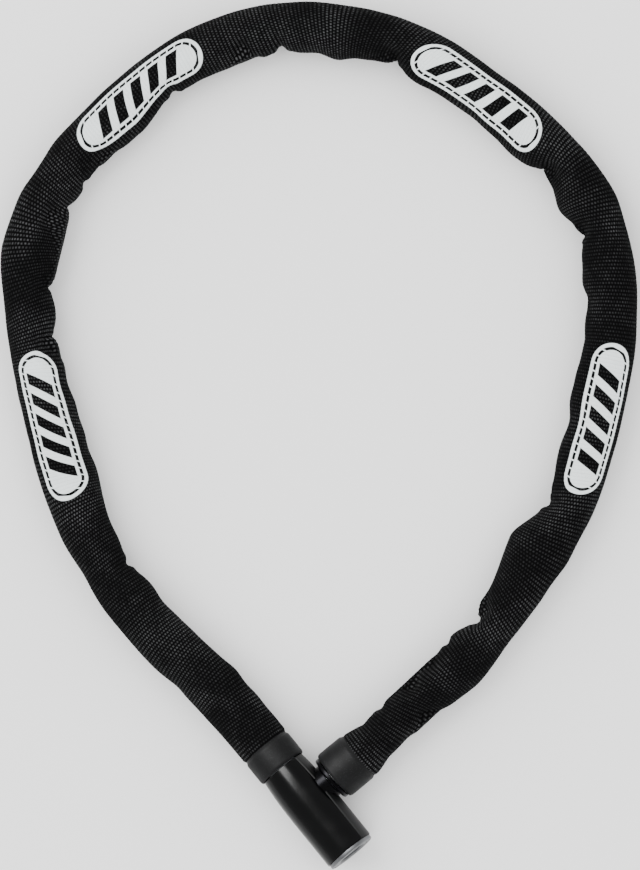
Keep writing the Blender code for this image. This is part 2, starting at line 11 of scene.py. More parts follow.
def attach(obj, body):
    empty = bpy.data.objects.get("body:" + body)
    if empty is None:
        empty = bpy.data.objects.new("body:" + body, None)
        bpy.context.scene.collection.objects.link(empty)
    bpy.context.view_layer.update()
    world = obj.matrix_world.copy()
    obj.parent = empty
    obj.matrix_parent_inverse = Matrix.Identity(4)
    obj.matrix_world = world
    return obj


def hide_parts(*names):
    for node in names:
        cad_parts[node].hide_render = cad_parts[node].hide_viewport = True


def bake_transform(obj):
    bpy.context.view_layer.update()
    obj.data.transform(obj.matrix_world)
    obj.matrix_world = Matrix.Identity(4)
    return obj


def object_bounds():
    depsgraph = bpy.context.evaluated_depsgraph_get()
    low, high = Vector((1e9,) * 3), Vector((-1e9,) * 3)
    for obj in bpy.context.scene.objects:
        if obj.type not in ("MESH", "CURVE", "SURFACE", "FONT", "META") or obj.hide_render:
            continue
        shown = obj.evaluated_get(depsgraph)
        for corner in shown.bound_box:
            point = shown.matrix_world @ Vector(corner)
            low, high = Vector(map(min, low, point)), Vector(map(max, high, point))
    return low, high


bl_info = {
    "name": "Chain Lock Looks",
    "version": (1, 0, 0),
    "blender": (4, 5, 0),
    "location": "View3D > Sidebar > Chain Lock",
    "description": "Sleeve, links, barrel, collars and stage for a sleeved chain lock",
    "category": "Object",
}

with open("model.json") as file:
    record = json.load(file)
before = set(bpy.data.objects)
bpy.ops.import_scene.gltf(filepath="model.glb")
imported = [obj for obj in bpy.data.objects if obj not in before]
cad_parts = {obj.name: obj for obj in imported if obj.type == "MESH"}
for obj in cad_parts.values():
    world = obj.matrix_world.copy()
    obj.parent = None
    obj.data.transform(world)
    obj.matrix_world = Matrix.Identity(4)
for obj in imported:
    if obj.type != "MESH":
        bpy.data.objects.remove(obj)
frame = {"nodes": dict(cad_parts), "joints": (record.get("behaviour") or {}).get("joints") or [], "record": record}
CAD_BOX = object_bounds()

MM = 0.001
UP = Vector((0.0, 0.0, 1.0))
JOINTS = {joint["name"]: joint for joint in frame["joints"]}
HINGES = [
    joint for joint in frame["joints"]
    if joint["type"] == "hinge" and tuple(joint["axis"]) == (0, 0, 1)
]

# The barrel's own frame: X along the barrel to the key face, Y along the bolt, Z up
BARREL_FOOT = Vector(JOINTS["plug_turn"]["pos_m"])
BARREL_X = Vector(JOINTS["plug_turn"]["axis"])
BARREL_Y = UP.cross(BARREL_X)
BARREL = Matrix((
    (BARREL_X.x, BARREL_Y.x, 0.0, BARREL_FOOT.x),
    (BARREL_X.y, BARREL_Y.y, 0.0, BARREL_FOOT.y),
    (0.0, 0.0, 1.0, BARREL_FOOT.z),
    (0.0, 0.0, 0.0, 1.0),
))
QUARTER_TURN = math.radians(90.0)
BOLT_STATION = 15.0 * MM
AT_BOLT = Matrix.Translation((BOLT_STATION, 0.0, 0.0))
ALONG_BARREL = BARREL @ Matrix.Rotation(QUARTER_TURN, 4, "Y")
ALONG_BOLT = BARREL @ AT_BOLT @ Matrix.Rotation(-QUARTER_TURN, 4, "X")

# Route of the chain, as in the CAD model: points in millimetres and their shift
ROUTE_SHIFT = np.array((-0.51, -0.09))
ROUTE = (
    (-37.0, -103.0), (-63.5, -77.0), (-82.0, -53.0), (-96.0, -25.5), (-104.5, 4.0),
    (-110.8, 36.5), (-112.3, 63.5), (-106.8, 87.5), (-92.2, 111.0), (-71.5, 131.8),
    (-47.5, 148.5), (-19.5, 157.8), (9.5, 157.6), (38.0, 149.0), (62.5, 133.5),
    (85.0, 115.8), (102.5, 94.5), (112.0, 67.5), (113.0, 37.0), (107.0, 4.0),
    (97.0, -27.0), (79.0, -57.0), (58.0, -84.0), (40.0, -101.5),
)

# The route's ends, along the barrel and then along the bolt, and how far the chain leans to the
# outer side of the loop, in millimetres
FIRST_CONTACT = -5.5
FIRST_GUIDE = -14.0
LAST_GUIDE = 31.0
LAST_CONTACT = 20.0
LINK_COUNT = 28
CHAIN_LEAN = 1.0
LEAN_RUN = 60.0
DIRECTION_REACH = 1.5

# Pinches (negative) and swells (positive) of the sleeve's inner and outer edges, in
# millimetres: distance along the sleeve, depth and half width
INNER_EDGE = (
    (34, 0.9, 12), (52, 0.8, 7), (97, -2.2, 7), (112, -1.0, 9), (141, 2.3, 19), (192, -4.6, 6.5),
    (216, -3.7, 6.5), (243, -6.4, 8.5), (262, -1.8, 10), (276, -1.2, 6), (295, 1.7, 9),
    (314, -2.6, 8), (348, -5.2, 4.5), (364, -2.7, 4.5), (380, -0.8, 5), (389, 0.8, 6),
    (411, -5.6, 6.5), (427, 1.2, 8), (446, -0.9, 12), (470, 1.2, 13), (491, -6.2, 5),
    (508, 1.0, 7), (520, -4.4, 6.5), (549, -1.2, 5), (565, -1.0, 5), (581, 1.0, 9),
    (633, -3.2, 11), (652, 3.8, 11), (672, -1.0, 6), (686, -7.0, 8.5), (702, -1.6, 6),
    (713, -3.6, 6), (723.5, -5.6, 6), (738, -2.4, 8), (748, -1.8, 6),
)
OUTER_EDGE = (
    (47, -1.0, 7), (102, -0.8, 7), (228, 2.6, 13), (248, 1.2, 12), (268, 0.7, 7), (512, 1.0, 8),
    (650, 0.5, 6), (706, 1.7, 12), (728, -3.3, 5), (740, -1.9, 8), (750, -1.6, 6),
)
# The middle of each pale patch: distance along the sleeve and offset round it
PATCHES = ((158.9, 0.6), (303.5, 0.4), (450.4, 0.4), (596.0, -3.1))

# How far the sleeve hangs to the outer side of the route: distance along it and offset
SLEEVE_LEAN = (
    (0, 0.0), (80, 0.0), (130, 0.5), (170, 0.9), (200, 1.5), (270, 1.9), (330, 1.6), (390, 0.6),
    (430, 0.7), (480, 0.0), (540, 1.1), (600, 0.8), (660, 0.8), (700, 0.3), (730, -0.3), (770, 0.0),
)

# The sleeve's section, its ends inside the collars and its clear room, in millimetres
SLEEVE_START = 1.0
SLEEVE_TUCK = 2.0
COLLAR_MOUTH_START = 5.3
COLLAR_MOUTH_END = 6.3
MOUTH_TAPER = 1.4
SLEEVE_HALF_HEIGHT = 10.0
SLEEVE_HALF_WIDTH = 10.2
TUCKED_RADIUS = 9.05
LINK_CLEARANCE = 0.45
FLOOR_CLEARANCE = 0.05
FLAT_LINK_REACH = 6.0
UPRIGHT_LINK_REACH = 5.6
LINK_FADE = 3.0
RINGS_PER_RIB = 5
AROUND = 96

# Creases fade in over a run beside each collar. Folds fan out from each deep pinch, and small
# waves cross the cloth; depths, heights and lengths are in millimetres
SMOOTH_START = 6.0
SMOOTH_END = 8.0
FADE_RUN = 25.0
DEEP_PINCH = 1.5
FULL_PINCH = 6.0
FOLD_FANS = (-0.45, 0.12, 0.5)
FOLD_DEPTH = 1.25
FOLD_RIDGE = 0.5
WAVE_COUNT = 26
WAVE_LENGTHS = (11.0, 34.0)
WAVE_HEIGHT = 0.085

# Marks of a pale patch: its stitched line and its slanted bars
STITCH_INSET = 2.0 * MM
STITCH_PITCH = 3.2 * MM
BAR_PITCH = 8.4 * MM
BARS_HALF_LENGTH = 21.0 * MM
BARS_HALF_WIDTH = 4.5 * MM

# The barrel's shell and end ring along the barrel, and its hole and bush along the bolt, in
# millimetres
BARREL_RADIUS = 10.3
SHELL_START = 0.3
SHELL_END = 41.2
SHELL_SWELL = 21.0
SHELL_BORE = 8.3
RING_BACK = 41.4
RING_FRONT = 42.8
RING_GROOVE = 0.18
STRIP_HALF_ANGLE = math.radians(41.0)
GROOVE_DEPTH = 0.28
GROOVE_HALF_WIDTH = 0.3
BOLT_HOLE = 7.2
BUSH_BORE = 5.0
BUSH_FRONT = 11.3


# ---------------------------------------------------------------- settings

class ChainLockSizes(bpy.types.PropertyGroup):
    rib_pitch: FloatProperty(
        name="Rib pitch", description="Distance from one woven rib to the next",
        default=1.42 * MM, unit="LENGTH")
    rib_height: FloatProperty(
        name="Rib height", description="How far a woven rib stands out of the sleeve",
        default=0.09 * MM, unit="LENGTH")
    yarn_pitch: FloatProperty(
        name="Yarn pitch", description="Distance between the yarns that cross the ribs",
        default=1.15 * MM, unit="LENGTH")
    patch_length: FloatProperty(
        name="Patch length", description="Length of each pale patch", default=60.0 * MM, unit="LENGTH")
    patch_width: FloatProperty(
        name="Patch width", description="Width of each pale patch round the sleeve",
        default=16.6 * MM, unit="LENGTH")
    link_bar: FloatProperty(
        name="Link bar", description="Side of the square bar of a link", default=4.0 * MM, unit="LENGTH")
    link_width: FloatProperty(
        name="Link width", description="Width across a link", default=15.8 * MM, unit="LENGTH")
    link_play: FloatProperty(
        name="Link play", description="Slack at each contact of two links",
        default=2.8 * MM, unit="LENGTH")
    wrinkle_seed: IntProperty(
        name="Wrinkle seed", description="Seed of the sleeve's small creases", default=7)


class ChainLockFinishes(bpy.types.PropertyGroup):
    yarn: FloatVectorProperty(
        name="Yarn", description="Colour of the sleeve's yarn", subtype="COLOR",
        default=(0.0014, 0.0014, 0.0015), min=0.0, max=1.0)
    # The yarn glint is a painted highlight, mixed into the sleeve's colour
    glint: FloatVectorProperty(
        name="Yarn glint", description="Colour of the yarn where it catches light", subtype="COLOR",
        default=(0.06, 0.0615, 0.063), min=0.0, max=1.0)
    patch: FloatVectorProperty(
        name="Patch", description="Colour of the pale patches", subtype="COLOR",
        default=(0.76, 0.81, 0.81), min=0.0, max=1.0)
    shell: FloatVectorProperty(
        name="Shell", description="Colour of the barrel's glossy shell", subtype="COLOR",
        default=(0.0008, 0.0009, 0.001), min=0.0, max=1.0)
    collar: FloatVectorProperty(
        name="Collar", description="Colour of the soft-touch collars", subtype="COLOR",
        default=(0.0032, 0.0033, 0.0035), min=0.0, max=1.0)


# ---------------------------------------------------------------- node helpers

class Nodes:
    """Adds and joins the nodes of one tree."""

    def __init__(self, tree):
        self.tree = tree

    def add(self, kind, settings=None, **inputs):
        node = self.tree.nodes.new(kind)
        for name, value in (settings or {}).items():
            setattr(node, name, value)
        for name, value in inputs.items():
            self.feed(node.inputs[name.replace("_", " ")], value)
        return node

    def feed(self, socket, value):
        if isinstance(value, bpy.types.NodeSocket):
            self.tree.links.new(value, socket)
        else:
            socket.default_value = value

    def math(self, operation, *values):
        node = self.add("ShaderNodeMath", {"operation": operation})
        for socket, value in zip(node.inputs, values):
            self.feed(socket, value)
        return node.outputs[0]

    def step(self, value, low, high):
        """Smoothly from 0 at low to 1 at high."""
        node = self.add("ShaderNodeMapRange", {"interpolation_type": "SMOOTHSTEP"})
        for name, given in (("Value", value), ("From Min", low), ("From Max", high)):
            self.feed(node.inputs[name], given)
        return node.outputs["Result"]

    def noise(self, vector, scale, detail=2.0, roughness=0.5):
        node = self.add("ShaderNodeTexNoise", None, Scale=scale, Detail=detail, Roughness=roughness)
        self.feed(node.inputs["Vector"], vector)
        return node.outputs["Fac"]

    def mix(self, factor, first, second):
        node = self.add("ShaderNodeMix", {"data_type": "RGBA"})
        self.feed(node.inputs[0], factor)
        self.feed(node.inputs[6], first)
        self.feed(node.inputs[7], second)
        return node.outputs[2]

    def bump(self, height, strength, distance):
        node = self.add("ShaderNodeBump", None, Height=height, Strength=strength, Distance=distance)
        return node.outputs["Normal"]

    def waves(self, value):
        """A row of even humps, from 0 to 1, one for each whole step of the value."""
        return self.math("ABSOLUTE", self.math("SINE", self.math("MULTIPLY", value, math.pi)))

    def unless(self, mask):
        """The reverse of a mask."""
        return self.math("SUBTRACT", 1.0, mask)

    def plus(self, base, value, share):
        """The base and a share of the value."""
        return self.math("ADD", base, self.math("MULTIPLY", value, share))


def rgba(colour):
    return (*colour, 1.0)


def new_material(name):
    made = bpy.data.materials.new(name)
    made.use_nodes = True
    shader = made.node_tree.nodes["Principled BSDF"]
    return made, Nodes(made.node_tree), shader


def object_space(nodes):
    return nodes.add("ShaderNodeTexCoord").outputs["Object"]


# ---------------------------------------------------------------- finishes

# Patch colour where it lies in painted shade between its ribs, and where it is worn
SHADED_WORN_PATCH = (0.42, 0.46, 0.47)
HAZED_SHELL = (0.0014, 0.0015, 0.0016)
CLOUDED_COLLAR = (0.005, 0.0052, 0.0055)
COLLAR_SPECK = (0.014, 0.0145, 0.0155)
STRIP = (0.003, 0.0031, 0.0033)
CLOUDED_STRIP = (0.0045, 0.0046, 0.0048)


def woven_sleeve(sizes, finishes):
    """Black ribbed webbing with painted highlights on its cross yarns, with the pale patches."""
    made, nodes, shader = new_material("woven_sleeve")
    weave = nodes.add("ShaderNodeUVMap", {"uv_map": "Weave"}).outputs["UV"]
    split = nodes.add("ShaderNodeSeparateXYZ", None, Vector=weave)
    around, along = split.outputs["X"], split.outputs["Y"]
    rib = nodes.math("DIVIDE", along, sizes.rib_pitch)
    row = nodes.math("FLOOR", rib)
    stagger = nodes.math("MULTIPLY", nodes.math("MODULO", row, 2.0), 0.5)
    yarn = nodes.math("ADD", nodes.math("DIVIDE", around, sizes.yarn_pitch), stagger)
    crest, beads = nodes.waves(rib), nodes.waves(yarn)
    thread = nodes.math("MULTIPLY", nodes.step(crest, 0.45, 0.95), nodes.step(beads, 0.35, 0.95))
    space = object_space(nodes)
    broad = nodes.step(nodes.noise(space, 42.0, 3.0, 0.6), 0.38, 0.66)
    fine = nodes.step(nodes.noise(space, 900.0, 2.0), 0.35, 0.7)
    # Painted highlight: the glint colour is put on the yarn beads of the ribs, stronger in random broad patches
    # and fine flecks
    lit = nodes.math("MULTIPLY", thread, nodes.plus(0.25, broad, 0.75))
    lit = nodes.math("MULTIPLY", lit, nodes.plus(0.3, fine, 0.7))
    black = nodes.mix(lit, rgba(finishes.yarn), rgba(finishes.glint))
    pale, dark_marks = patch_masks(nodes, sizes)
    # Painted shade: the pale patch darkens in the hollows between its ribs; the noise added to it is real wear
    groove_shade = nodes.math("MULTIPLY", nodes.unless(nodes.step(crest, 0.05, 0.5)), 0.35)
    worn = nodes.math("MULTIPLY", nodes.step(nodes.noise(space, 160.0, 4.0), 0.45, 0.8), 0.18)
    shade_and_wear = nodes.math("ADD", groove_shade, worn)
    white = nodes.mix(shade_and_wear, rgba(finishes.patch), rgba(SHADED_WORN_PATCH))
    printed = nodes.math("MULTIPLY", pale, nodes.unless(dark_marks))
    nodes.feed(shader.inputs["Base Color"], nodes.mix(printed, black, white))
    rough = nodes.math("SUBTRACT", 0.86, nodes.math("MULTIPLY", lit, 0.42))
    nodes.feed(shader.inputs["Roughness"], rough)
    shader.inputs["Specular IOR Level"].default_value = 0.02
    shader.inputs["Sheen Weight"].default_value = 0.002
    shader.inputs["Sheen Roughness"].default_value = 0.45
    height = nodes.plus(thread, fine, 0.25)
    nodes.feed(shader.inputs["Normal"], nodes.bump(height, 0.75, 0.16 * MM))
    return made


def patch_masks(nodes, sizes):
    """Masks of the rounded pale patch, and of the dark stitches and slanted bars on it."""
    place = nodes.add("ShaderNodeUVMap", {"uv_map": "Patch"}).outputs["UV"]
    split = nodes.add("ShaderNodeSeparateXYZ", None, Vector=place)
    along, across = split.outputs["X"], split.outputs["Y"]
    radius = sizes.patch_width / 2.0
    straight = sizes.patch_length / 2.0 - radius
    past = nodes.math("SUBTRACT", nodes.math("ABSOLUTE", along), straight)
    past = nodes.math("POWER", nodes.math("MAXIMUM", past, 0.0), 2.0)
    off = nodes.math("ABSOLUTE", across)
    reach = nodes.math("SQRT", nodes.math("ADD", past, nodes.math("POWER", off, 2.0)))
    inside = nodes.math("SUBTRACT", radius, reach)
    pale = nodes.step(inside, -0.12 * MM, 0.12 * MM)
    line = nodes.math("ABSOLUTE", nodes.math("SUBTRACT", inside, STITCH_INSET))
    line = nodes.unless(nodes.step(line, 0.5 * MM, 0.68 * MM))
    run = nodes.math("DIVIDE", nodes.plus(along, across, 0.35), STITCH_PITCH)
    stitches = nodes.math("MULTIPLY", line, nodes.step(nodes.waves(run), 0.2, 0.32))
    slant = nodes.plus(along, across, 0.55)
    bars = nodes.math("COSINE", nodes.math("MULTIPLY", slant, 2.0 * math.pi / BAR_PITCH))
    bars = nodes.step(bars, -0.35, -0.15)
    near = nodes.math("LESS_THAN", nodes.math("ABSOLUTE", slant), BARS_HALF_LENGTH)
    narrow = nodes.unless(nodes.step(off, BARS_HALF_WIDTH, BARS_HALF_WIDTH + 0.25 * MM))
    bars = nodes.math("MULTIPLY", nodes.math("MULTIPLY", bars, near), narrow)
    return pale, nodes.math("MAXIMUM", stitches, bars)


def gloss_shell(finishes):
    """Moulded gloss plastic with a faint orange-peel and handling haze."""
    made, nodes, shader = new_material("gloss_shell")
    space = object_space(nodes)
    haze = nodes.step(nodes.noise(space, 120.0, 5.0, 0.6), 0.4, 0.75)
    shader.inputs["Specular IOR Level"].default_value = 0.11
    tone = nodes.mix(haze, rgba(finishes.shell), rgba(HAZED_SHELL))
    nodes.feed(shader.inputs["Base Color"], tone)
    nodes.feed(shader.inputs["Roughness"], nodes.plus(0.2, haze, 0.08))
    peel = nodes.noise(space, 700.0, 3.0)
    nodes.feed(shader.inputs["Normal"], nodes.bump(peel, 0.06, 0.2 * MM))
    return made


def soft_collar(finishes):
    """Soft-touch plastic with a fine pale speckle."""
    made, nodes, shader = new_material("soft_collar")
    space = object_space(nodes)
    shader.inputs["Specular IOR Level"].default_value = 0.12
    speck = nodes.step(nodes.noise(space, 2600.0, 2.0), 0.55, 0.75)
    cloud = nodes.step(nodes.noise(space, 180.0, 4.0), 0.35, 0.75)
    tone = nodes.mix(cloud, rgba(finishes.collar), rgba(CLOUDED_COLLAR))
    nodes.feed(shader.inputs["Base Color"], nodes.mix(speck, tone, rgba(COLLAR_SPECK)))
    nodes.feed(shader.inputs["Roughness"], nodes.plus(0.58, cloud, -0.1))
    grain = nodes.noise(space, 1800.0, 3.0)
    nodes.feed(shader.inputs["Normal"], nodes.bump(grain, 0.25, 0.08 * MM))
    return made


def metal(name, colour, worn, roughness, grain_scale, stretch=(1.0, 1.0, 1.0), grain=0.12):
    """A metal with lengthwise grain, light wear and small change of tone."""
    made, nodes, shader = new_material(name)
    space = object_space(nodes)
    mapped = nodes.add("ShaderNodeMapping", None, Vector=space, Scale=stretch).outputs["Vector"]
    lines = nodes.noise(mapped, grain_scale, 4.0, 0.6)
    tone = nodes.step(nodes.noise(space, 240.0, 3.0), 0.4, 0.7)
    nodes.feed(shader.inputs["Base Color"], nodes.mix(tone, rgba(colour), rgba(worn)))
    shader.inputs["Metallic"].default_value = 1.0
    nodes.feed(shader.inputs["Roughness"], nodes.plus(roughness, lines, 0.18))
    nodes.feed(shader.inputs["Normal"], nodes.bump(lines, grain, 0.05 * MM))
    return made


def link_steel():
    return metal("link_steel", (0.3, 0.31, 0.32), (0.2, 0.2, 0.21), 0.3, 900.0)


def pin_steel():
    lengthwise = (1.0, 1.0, 6.0)
    return metal("pin_steel", (0.45, 0.46, 0.47), (0.34, 0.35, 0.36), 0.22, 1400.0, lengthwise)


def bolt_steel():
    return metal("bolt_steel", (0.5, 0.51, 0.52), (0.38, 0.39, 0.4), 0.18, 1200.0)


def cast_zinc():
    return metal("cast_zinc", (0.33, 0.34, 0.35), (0.26, 0.27, 0.28), 0.42, 500.0, grain=0.3)


def plug_brass():
    return metal("plug_brass", (0.55, 0.44, 0.22), (0.45, 0.34, 0.15), 0.3, 1500.0)


def satin_nickel():
    tone, worn = (0.15, 0.153, 0.158), (0.11, 0.113, 0.118)
    return metal("satin_nickel", tone, worn, 0.34, 1600.0, grain=0.08)


def black_nickel():
    tone, worn = (0.006, 0.006, 0.0065), (0.004, 0.004, 0.0045)
    return metal("black_nickel", tone, worn, 0.2, 1600.0, grain=0.06)


def satin_strip():
    """The shell's strip on the bolt's side: the same plastic with a satin, brushed skin."""
    made, nodes, shader = new_material("satin_strip")
    space = object_space(nodes)
    grain = nodes.noise(space, 1500.0, 3.0)
    cloud = nodes.step(nodes.noise(space, 150.0, 3.0), 0.4, 0.7)
    tone = nodes.mix(cloud, rgba(STRIP), rgba(CLOUDED_STRIP))
    shader.inputs["Specular IOR Level"].default_value = 0.2
    nodes.feed(shader.inputs["Base Color"], tone)
    nodes.feed(shader.inputs["Roughness"], nodes.plus(0.42, grain, 0.12))
    nodes.feed(shader.inputs["Normal"], nodes.bump(grain, 0.12, 0.06 * MM))
    return made


# ---------------------------------------------------------------- mesh helpers

def mesh_object(name, mesh, *finishes):
    for finish in finishes:
        mesh.materials.append(finish)
    obj = bpy.data.objects.new(name, mesh)
    bpy.context.scene.collection.objects.link(obj)
    return obj


def grid_mesh(name, points, close_rows=False):
    """A mesh from a grid of points (rows, columns, 3), closed round its columns."""
    rows, columns = points.shape[:2]
    mesh = bpy.data.meshes.new(name)
    corner = np.arange(rows * columns).reshape(rows, columns)
    last = rows if close_rows else rows - 1
    first_row = corner[np.arange(last)]
    next_row = corner[(np.arange(last) + 1) % rows]
    faces = np.stack([
        first_row, np.roll(first_row, -1, axis=1), np.roll(next_row, -1, axis=1), next_row,
    ], axis=-1).reshape(-1, 4)
    mesh.vertices.add(rows * columns)
    mesh.vertices.foreach_set("co", points.reshape(-1).astype(np.float32))
    mesh.loops.add(len(faces) * 4)
    mesh.loops.foreach_set("vertex_index", faces.reshape(-1).astype(np.int32))
    mesh.polygons.add(len(faces))
    mesh.polygons.foreach_set("loop_start", np.arange(0, len(faces) * 4, 4, dtype=np.int32))
    mesh.update(calc_edges=True)
    mesh.shade_smooth()
    return mesh


def millimetres(profile):
    """A profile given in millimetres, in metres."""
    return [(radius * MM, height * MM) for radius, height in profile]


def rounded(points, radius, steps=4):
    """A closed profile with each corner turned into a small arc."""
    made = []
    points = [Vector(point) for point in points]
    for before, here, after in zip(points[-1:] + points[:-1], points, points[1:] + points[:1]):
        back, ahead = before - here, after - here
        reach = min(radius, back.length * 0.45, ahead.length * 0.45)
        start, end = here + back.normalized() * reach, here + ahead.normalized() * reach
        for i in range(steps + 1):
            t = i / steps
            made.append((1 - t) ** 2 * start + 2 * t * (1 - t) * here + t ** 2 * end)
    return made


def turned_points(profile, angles):
    """Points of a (radius, height) profile turned about Z through the given angles."""
    radii = np.array([point[0] for point in profile])
    heights = np.array([point[1] for point in profile])
    points = np.empty((len(profile), len(angles), 3))
    points[..., 0] = radii[:, None] * np.cos(angles)
    points[..., 1] = radii[:, None] * np.sin(angles)
    points[..., 2] = heights[:, None]
    return points


def turned_ring(name, profile, placed, around):
    """A closed (radius, height) profile turned about Z."""
    angles = np.linspace(0.0, 2.0 * math.pi, around, endpoint=False)
    mesh = grid_mesh(name, turned_points(profile, angles), close_rows=True)
    mesh.transform(placed)
    recalculate(mesh)
    mesh.set_sharp_from_angle(angle=math.radians(40.0))
    return mesh


def recalculate(mesh):
    shape = bmesh.new()
    shape.from_mesh(mesh)
    bmesh.ops.recalc_face_normals(shape, faces=shape.faces)
    shape.to_mesh(mesh)
    shape.free()


def cut(obj, cutter):
    """Cut one mesh with another for good, and drop the cutter."""
    step = obj.modifiers.new("cut", "BOOLEAN")
    step.operation = "DIFFERENCE"
    step.solver = "EXACT"
    step.object = cutter
    flatten_modifiers(obj)
    bpy.data.objects.remove(cutter)


def flatten_modifiers(obj):
    graph = bpy.context.evaluated_depsgraph_get()
    mesh = bpy.data.meshes.new_from_object(obj.evaluated_get(graph), depsgraph=graph)
    obj.modifiers.clear()
    obj.data = mesh


def rod_cutter(radius, low, high, placed):
    shape = bmesh.new()
    bmesh.ops.create_cone(
        shape, cap_ends=True, segments=96, radius1=radius, radius2=radius, depth=high - low)
    bmesh.ops.translate(shape, vec=(0.0, 0.0, (high + low) / 2.0), verts=shape.verts)
    mesh = bpy.data.meshes.new("cutter")
    shape.to_mesh(mesh)
    shape.free()
    mesh.transform(placed)
    return mesh_object("cutter", mesh)


# ---------------------------------------------------------------- route

def barrel_point(along, across):
    """A point of the barrel's frame, given in millimetres, in the plane of the loop."""
    point = BARREL @ Vector((along * MM, across * MM, 0.0))
    return np.array((point.x, point.y)) / MM


def chain_route(samples=24):
    """The chain's centre line in millimetres, and the distance along it."""
    bolt_station = BOLT_STATION / MM
    points = [barrel_point(FIRST_CONTACT, 0.0), barrel_point(FIRST_GUIDE, 0.0)]
    points += [np.array(point) + ROUTE_SHIFT for point in ROUTE]
    points += [barrel_point(bolt_station, LAST_GUIDE), barrel_point(bolt_station, LAST_CONTACT)]
    points = [2.0 * points[0] - points[1], *points, 2.0 * points[-1] - points[-2]]
    line = []
    for a, b, c, d in zip(points, points[1:], points[2:], points[3:]):
        for t in np.linspace(0.0, 1.0, samples, endpoint=False):
            line.append(0.5 * (
                2.0 * b + (c - a) * t + (2.0 * a - 5.0 * b + 4.0 * c - d) * t ** 2
                + (3.0 * b - a - 3.0 * c + d) * t ** 3))
    line.append(points[-2])
    line = np.array(line)
    return line, travelled(line)


def travelled(line):
    """The distance along a line at each of its points."""
    steps = np.linalg.norm(np.diff(line, axis=0), axis=1)
    return np.concatenate(([0.0], np.cumsum(steps)))


def link_places():
    """The points, in millimetres, where links meet; the chain leans on the sleeve's outer side."""
    line, distance = chain_route()
    ahead = np.gradient(line, axis=0)
    outward = np.stack((-ahead[:, 1], ahead[:, 0]), axis=-1)
    outward /= np.linalg.norm(outward, axis=1, keepdims=True)
    share = np.clip(np.minimum(distance, distance[-1] - distance) / LEAN_RUN, 0.0, 1.0)
    chain = line + outward * (CHAIN_LEAN * share * share * (3.0 - 2.0 * share))[:, None]
    run = travelled(chain)
    meets = np.linspace(0.0, run[-1], LINK_COUNT + 1)
    places = np.stack([np.interp(meets, run, chain[:, axis]) for axis in (0, 1)], axis=-1)
    return places, meets[1]


def link_reach(where, sizes, first, side):
    """How far every second link stands from the route, in millimetres, and where its middle line runs.

    Links 0, 2, 4... lie flat, and side is 1 for their inner side and -1 for their outer side.
    Links 1, 3, 5... stand upright, and side is 0 for their top.
    """
    line, distance = chain_route()
    places, pitch = link_places()
    half_width = sizes.link_width / MM / 2.0
    half_length = (pitch + (sizes.link_play + 2.0 * sizes.link_bar) / MM) / 2.0
    along = np.linspace(-half_length, half_length, 61)
    past = np.clip(np.abs(along) - (half_length - half_width), 0.0, half_width)
    across = np.sqrt(half_width ** 2 - past ** 2)
    reach, middle_line = np.zeros_like(where), np.zeros_like(where)
    for start, end in zip(places[first:-1:2], places[first + 1::2]):
        ahead = (end - start) / np.linalg.norm(end - start)
        right = np.array((ahead[1], -ahead[0]))
        axis = (start + end) / 2.0 + along[:, None] * ahead
        outline = axis + side * across[:, None] * right
        nearest = np.linalg.norm(line[None] - outline[:, None], axis=2).argmin(axis=1)
        off = np.abs((outline - line[nearest]) @ right) if side else across
        beside = -(axis - line[nearest]) @ right
        stations = distance[nearest]
        inside = (where > stations[0]) & (where < stations[-1])
        here = np.interp(where, stations, off)
        middle_line = np.where(inside & (here > reach), np.interp(where, stations, beside), middle_line)
        reach = np.where(inside, np.maximum(reach, here), reach)
    return reach, middle_line


def soft_maximum(first, second, blend=0.25):
    """The larger of two values, with a small round where they cross."""
    return blend * np.logaddexp(first / blend, second / blend)


def route_at(line, distance, where):
    """Points and unit directions of the route at the given distances."""
    behind, point, ahead = (
        np.stack([np.interp(where + step, distance, line[:, axis]) for axis in (0, 1)], axis=-1)
        for step in (-DIRECTION_REACH, 0.0, DIRECTION_REACH))
    direction = ahead - behind
    return point, direction / np.linalg.norm(direction, axis=-1, keepdims=True)


# ---------------------------------------------------------------- sleeve

def edge_offset(base, bumps, where):
    """How far the sleeve's edge stands from the route, in millimetres."""
    offset = np.full_like(where, base)
    for station, depth, width in bumps:
        offset += depth * np.exp(-np.abs((where - station) / width) ** 1.7)
    return offset


def pinch_creases(where, lateral, inner_share):
    """Folds that fan out over the sleeve from each pinch of its inner edge."""
    relief = np.zeros_like(where)
    inward = SLEEVE_HALF_WIDTH - lateral
    for number, (station, depth, width) in enumerate(INNER_EDGE):
        if depth > -DEEP_PINCH:
            continue
        strength = min(-depth, FULL_PINCH) / FULL_PINCH
        for fan in FOLD_FANS:
            lean = fan + 0.18 * math.sin(2.3 * number)
            line = station + lean * inward * 0.9
            spread = 1.1 + 0.1 * inward
            away = (where - line) / spread
            relief -= FOLD_DEPTH * strength * np.exp(-away ** 2) * inner_share ** 1.5
            relief += FOLD_RIDGE * strength * np.exp(-(np.abs(away) - 2.2) ** 2) * inner_share ** 1.2
    return relief


def small_wrinkles(where, arc, seed):
    """Soft waves of the cloth, mostly across the sleeve."""
    random = np.random.default_rng(seed)
    relief = np.zeros_like(where)
    for _ in range(WAVE_COUNT):
        wave = random.uniform(*WAVE_LENGTHS)
        angle = random.normal(0.0, 0.42)
        phase = random.uniform(0.0, 2.0 * math.pi)
        across = 2 if abs(angle) > 0.3 else 1
        turn = across * arc / (2.0 * SLEEVE_HALF_WIDTH) * np.sign(angle)
        relief += np.sin(2.0 * math.pi * where / wave + turn + phase) * wave / WAVE_LENGTHS[1]
    return relief * WAVE_HEIGHT


